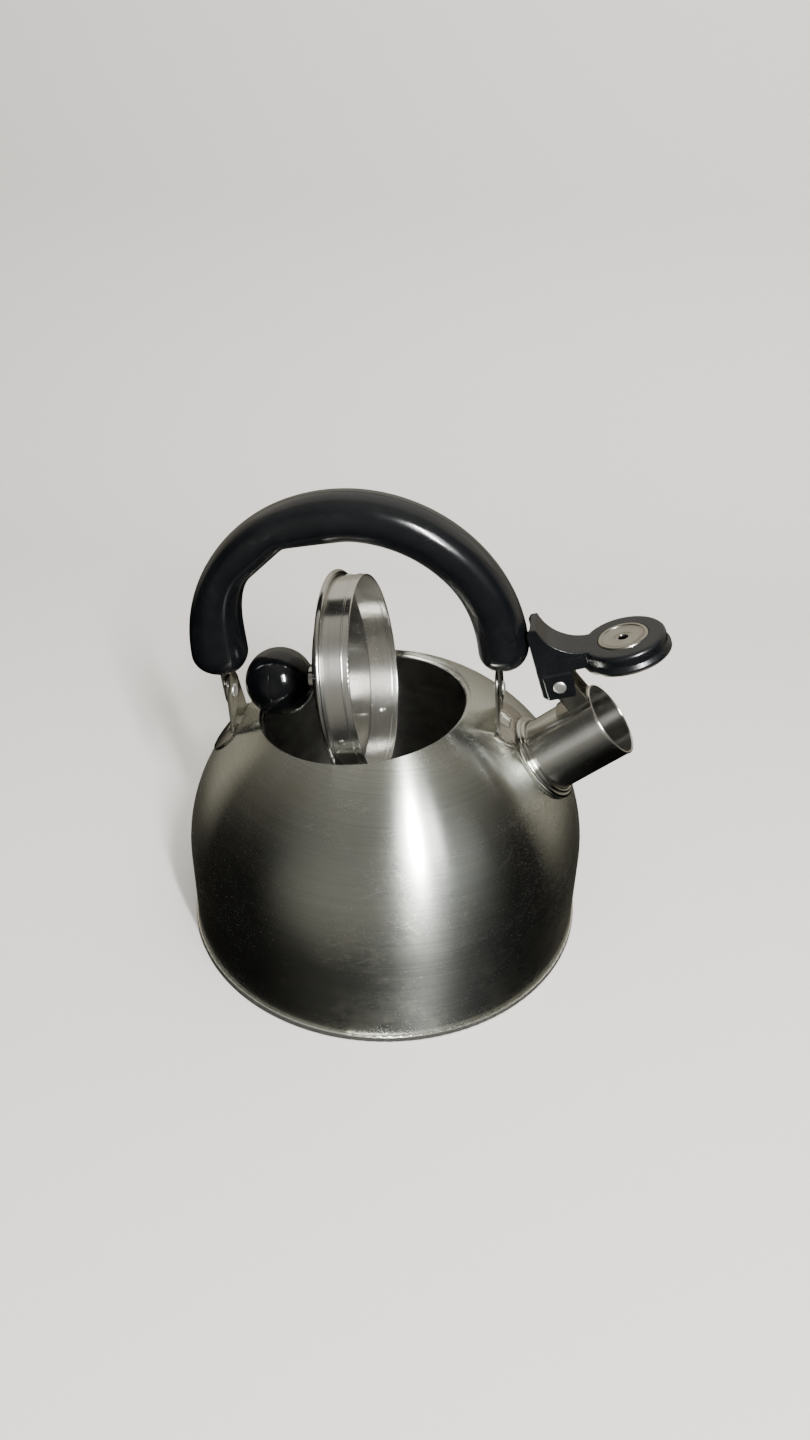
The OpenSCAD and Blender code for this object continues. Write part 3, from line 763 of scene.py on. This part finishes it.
def make_room():
    """The room that the steel reflects: a pale wall behind, a dim ceiling, a dark front and floor.

    Where the camera looks past the floor it sees the plain backdrop instead."""
    world = bpy.data.worlds.new("studio")
    bpy.context.scene.world = world
    world.use_nodes = True
    g = Graph(world.node_tree)
    way = g.node("ShaderNodeTexCoord").outputs["Generated"]
    _, y, z = g.parts(way)
    overhead = (-0.08, 0.5, 0.86)
    ceiling = g.node("ShaderNodeValToRGB")
    g.put(ceiling.inputs[0], g.vec("DOT_PRODUCT", way, overhead, out="Value"))
    stops = ceiling.color_ramp.elements
    stops[0].position, stops[0].color = 0.0, (0.0025, 0.0024, 0.0022, 1)
    stops[1].position, stops[1].color = 1.0, (0.5, 0.48, 0.42, 1)
    for place, colour in ((0.28, (0.03, 0.028, 0.024, 1)), (0.6, (0.17, 0.16, 0.135, 1))):
        stops.new(place).color = colour
    behind = g.math("MULTIPLY", g.remap(y, 0.13, 0.42), g.remap(z, -0.33, -0.12))
    wall = g.mix(behind, (0.0, 0.0, 0.0), (0.4, 0.37, 0.3))
    room = g.vec("MAXIMUM", ceiling.outputs[0], wall)
    for azimuth, elevation, inner, outer, colour in GLOWS:
        towards = around(azimuth, elevation, 1, (0, 0, 0))
        facing = g.vec("DOT_PRODUCT", way, towards, out="Value")
        share = g.remap(facing, math.cos(math.radians(outer)), math.cos(math.radians(inner)))
        room = g.vec("ADD", room, g.mix(share, (0.0, 0.0, 0.0), colour))
    seen = g.node("ShaderNodeLightPath").outputs["Is Camera Ray"]
    back = g.node("ShaderNodeBackground")
    g.put(back.inputs["Color"], g.mix(seen, room, BACKDROP))
    g.tree.links.new(back.outputs[0], g.node("ShaderNodeOutputWorld").inputs[0])


def make_light():
    """A narrow lamp in a wide soft one, a low wall light, and a wide light for the paper floor."""
    away = 1.3
    area("core", around(29, 43, away), MIDDLE, (0.05, 0.45), 34, (1.0, 0.99, 0.97))
    area("key", around(32, 42, away), MIDDLE, (0.5, 0.5), 6, (0.96, 0.98, 1.0))
    area("wall", (0.0, 0.58, 0.62), (0.0, 0.0, 0.1), (1.6, 0.8), 1.2, (1.0, 0.96, 0.9))
    paper = area("paper", (0.0, -0.1, 1.8), (0, 0, 0), (2.4, 2.4), 42, (1.0, 0.985, 0.96))
    paper.visible_glossy = False


# ---------------------------------------------------------------- the kettle
# Places that are more scratched than the rest, in metres, with their radii.
WORN = (((0.0133, -0.0845, 0.0887), 0.016), ((0.0255, -0.0911, 0.0694), 0.012),
        ((0.0713, -0.0516, 0.0847), 0.024), ((0.0003, -0.0976, 0.0566), 0.02))

body_steel = steel("body_steel", UPRIGHT, (0.608, 0.628, 0.582), 0.26, lines=0.07, fine=1300,
                   aniso=0.93, stain=0.3, film=0.005, spots=0.15, scratch=0.35, worn=WORN,
                   contrast=0.16, inside=((0, 0, DOME_Z * MM), (0.42, 0.42, 0.4), 0.15))
base_steel = steel("base_steel", UPRIGHT, (0.84, 0.83, 0.77), 0.22, lines=0.05, aniso=0.0,
                   stain=0.1, spots=0.25, contrast=0.06, shine=0.94)
spout_steel = steel("spout_steel", SPOUT, (0.6, 0.6, 0.565), 0.21, lines=0.06, fine=1500,
                    aniso=0.92, stain=0.08, film=0.01, scratch=0.1, unroll=0.018, bump=0.02,
                    contrast=0.1, rim=139.3)
collar_steel = steel("collar_steel", SPOUT, (0.66, 0.65, 0.61), 0.09, lines=0.03, aniso=0.0,
                     stain=0.12, spots=0.15, contrast=0.08)
lid_steel = steel("lid_steel", LID, (0.76, 0.755, 0.72), 0.24, lines=0.08, fine=1300,
                  aniso=0.85, stain=0.1, film=0.02, spots=0.2, scratch=0.2, unroll=0.047,
                  contrast=0.12, bump=0.03)
mirror_steel = steel("mirror_steel", LID, (0.6, 0.595, 0.57), 0.17, lines=0.06, fine=1500,
                     aniso=0.7, stain=0.1, film=0.02, spots=0.3, scratch=0.2, unroll=0.047,
                     contrast=0.1, bump=0.03)
disc_steel = steel("disc_steel", CAP, (0.5, 0.475, 0.42), 0.26, lines=0.14,
                   fine=1600, aniso=0.5, stain=0.3, film=0.05, spots=0.3)
strip = strip_steel("strip_steel", (0, 0, 1), (0.44, 0.425, 0.38), 0.18)
rivet_steel = strip_steel("rivet_steel", (1, 1, 0), (0.84, 0.83, 0.81), 0.42)
black = bakelite("black_bakelite_look", rough=0.17, shade=0.5)
lever_black = bakelite("lever_bakelite_look", rough=0.24, shade=0.5)
# The knob's copy of the black bakelite is darker than the grip's and lever's: painted shade.
knob_black_painted_shade = bakelite("knob_bakelite_painted_shade", rough=0.09, shade=0.3)

FINISH = {
    "body_shell": body_steel, "base_plate": base_steel, "spout_tube": spout_steel,
    "spout_collar": collar_steel, "front_bracket": strip, "rear_bracket": strip,
    "front_pivot_rivet": rivet_steel, "rear_pivot_rivet": rivet_steel, "handle_grip": black,
    "front_tang": strip, "rear_tang": strip, "whistle_bracket": strip, "lever_rivet": rivet_steel,
    "whistle_lever": lever_black, "whistle_disc": disc_steel, "whistle_plate": disc_steel,
    "lid_cover": mirror_steel, "lid_sleeve": lid_steel, "lid_knob": black,
    "knob_ferrule": mirror_steel, "knob_screw": rivet_steel,
}

make_camera()
make_stage()
make_room()
make_light()
for name, finish in FINISH.items():
    for held in nodes[name].material_slots:
        held.material = finish

make_grip(black)
make_lever(lever_black)
make_knob(knob_black_painted_shade)
make_disc(disc_steel)

EAR_X, PIVOT_Z = 63.4, 97.0     # the handle's rivets, in the crown's frame
# A rivet's length and radius, and the radius and height of its heads.
PIVOT = (2.9, 2.0, 3.3, 1.2)
PIN = (17.8, 1.5, 3.0, 0.9)
make_rivet("front_rivet", CROWN @ at(EAR_X, 0, PIVOT_Z) @ turn_y(90), *PIVOT,
           "kettle", "front_pivot_rivet", rivet_steel)
make_rivet("rear_rivet", CROWN @ at(-EAR_X, 0, PIVOT_Z) @ turn_y(-90), *PIVOT,
           "kettle", "rear_pivot_rivet", rivet_steel)
make_rivet("lever_pin", SPOUT @ at(PIN_X, -PIN[0] / 2, PIN_Z) @ ACROSS.inverted(), *PIN,
           "kettle", "lever_rivet", rivet_steel)

for node, name, body, width in (
        ("front_bracket", "front_ear", "kettle", 0.3), ("rear_bracket", "rear_ear", "kettle", 0.3),
        ("front_tang", "front_strap", "handle", 0.3), ("rear_tang", "rear_strap", "handle", 0.3),
        ("whistle_bracket", "lever_ears", "kettle", 0.25)):
    add_piece(name, bevelled(node, name, width), body, [node], strip)
